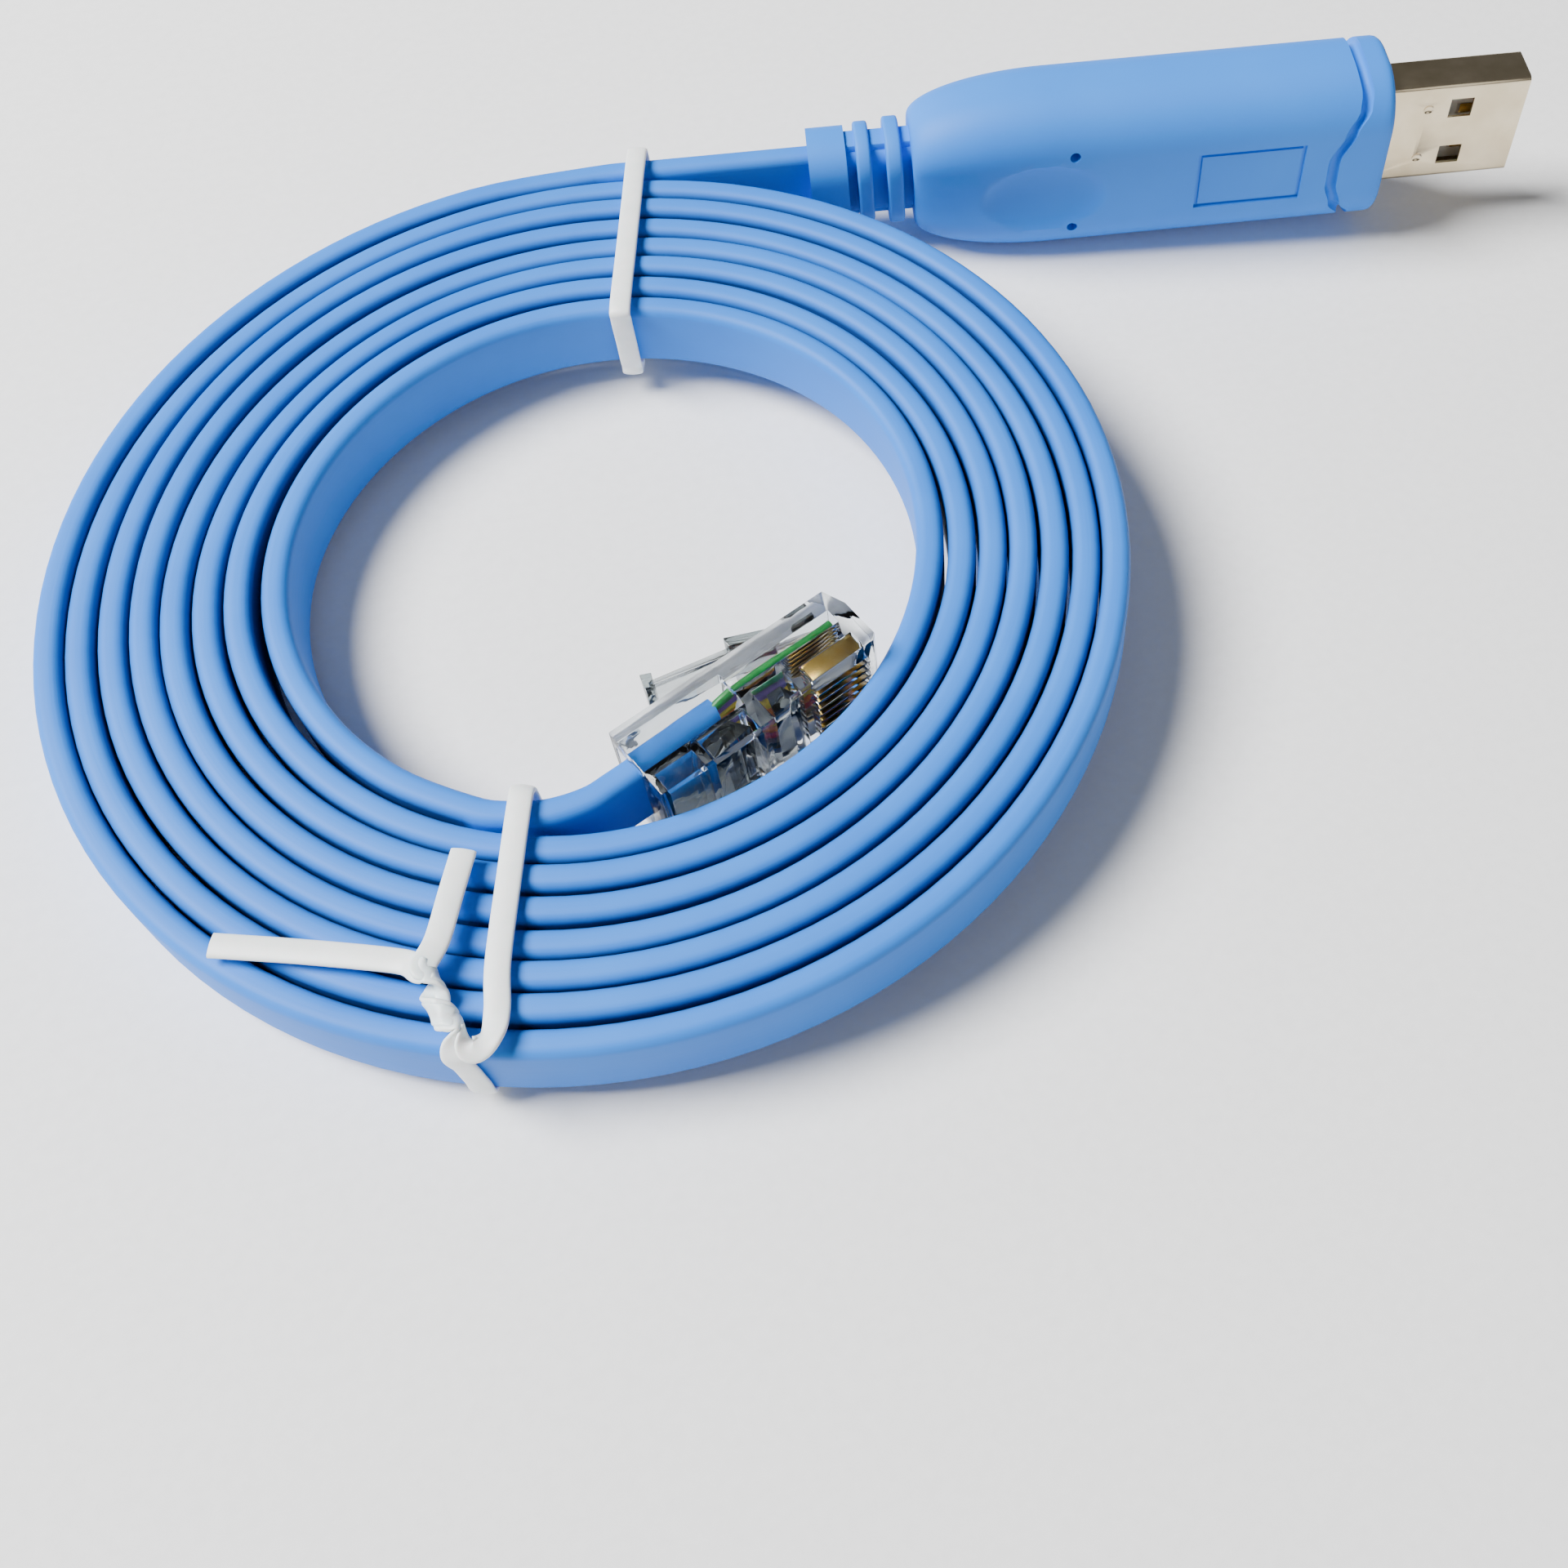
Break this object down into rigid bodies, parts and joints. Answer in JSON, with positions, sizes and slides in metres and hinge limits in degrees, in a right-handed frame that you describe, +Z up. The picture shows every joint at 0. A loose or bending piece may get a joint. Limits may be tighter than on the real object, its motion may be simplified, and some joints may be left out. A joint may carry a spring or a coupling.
{
  "type": "usb to rj45 console cable",
  "caption": "Flat blue console cable wound on edge into a flat coil, with a USB-A plug in a long grip at one end, a clear RJ45 plug at the other and white wire ties.",
  "frame": {"origin": "centre of the bounding box at floor level, the coil lying on its side as set down", "axes": "+Z up from the floor, +X towards the end with the USB plug, +Y away from the side that shows in the picture's foreground"},
  "size_m": [0.1514, 0.0968, 0.0199],
  "materials": {
    "cable_jacket": "smooth satin vinyl",
    "overmould": "fine matt moulded vinyl",
    "nickel": "nickel plated steel, drawn",
    "clear_plastic": "clear polished",
    "white_plastic": "satin",
    "gold": "gold plated, polished",
    "wire_blue": "smooth insulation",
    "wire_black": "smooth insulation",
    "wire_brown": "smooth insulation",
    "wire_red": "smooth insulation",
    "wire_orange": "smooth insulation",
    "wire_yellow": "smooth insulation",
    "wire_purple": "smooth insulation",
    "wire_green": "smooth insulation"
  },
  "bodies": {
    "root": {"cable_coil": "cable_jacket", "cable_lead_usb": "cable_jacket", "cable_lead_rj45": "cable_jacket", "usb_overmould": "overmould", "usb_shell": "nickel", "usb_tongue": "white_plastic", "usb_contact_1": "gold", "usb_contact_2": "gold", "usb_contact_3": "gold", "usb_contact_4": "gold", "rj45_body": "clear_plastic", "rj45_contact_1": "gold", "rj45_wire_1": "wire_blue", "rj45_contact_2": "gold", "rj45_wire_2": "wire_black", "rj45_contact_3": "gold", "rj45_wire_3": "wire_brown", "rj45_contact_4": "gold", "rj45_wire_4": "wire_red", "rj45_contact_5": "gold", "rj45_wire_5": "wire_orange", "rj45_contact_6": "gold", "rj45_wire_6": "wire_yellow", "rj45_contact_7": "gold", "rj45_wire_7": "wire_purple", "rj45_contact_8": "gold", "rj45_wire_8": "wire_green", "twist_tie_far": "white_plastic", "twist_tie_near": "white_plastic"}
  },
  "joints": []
}
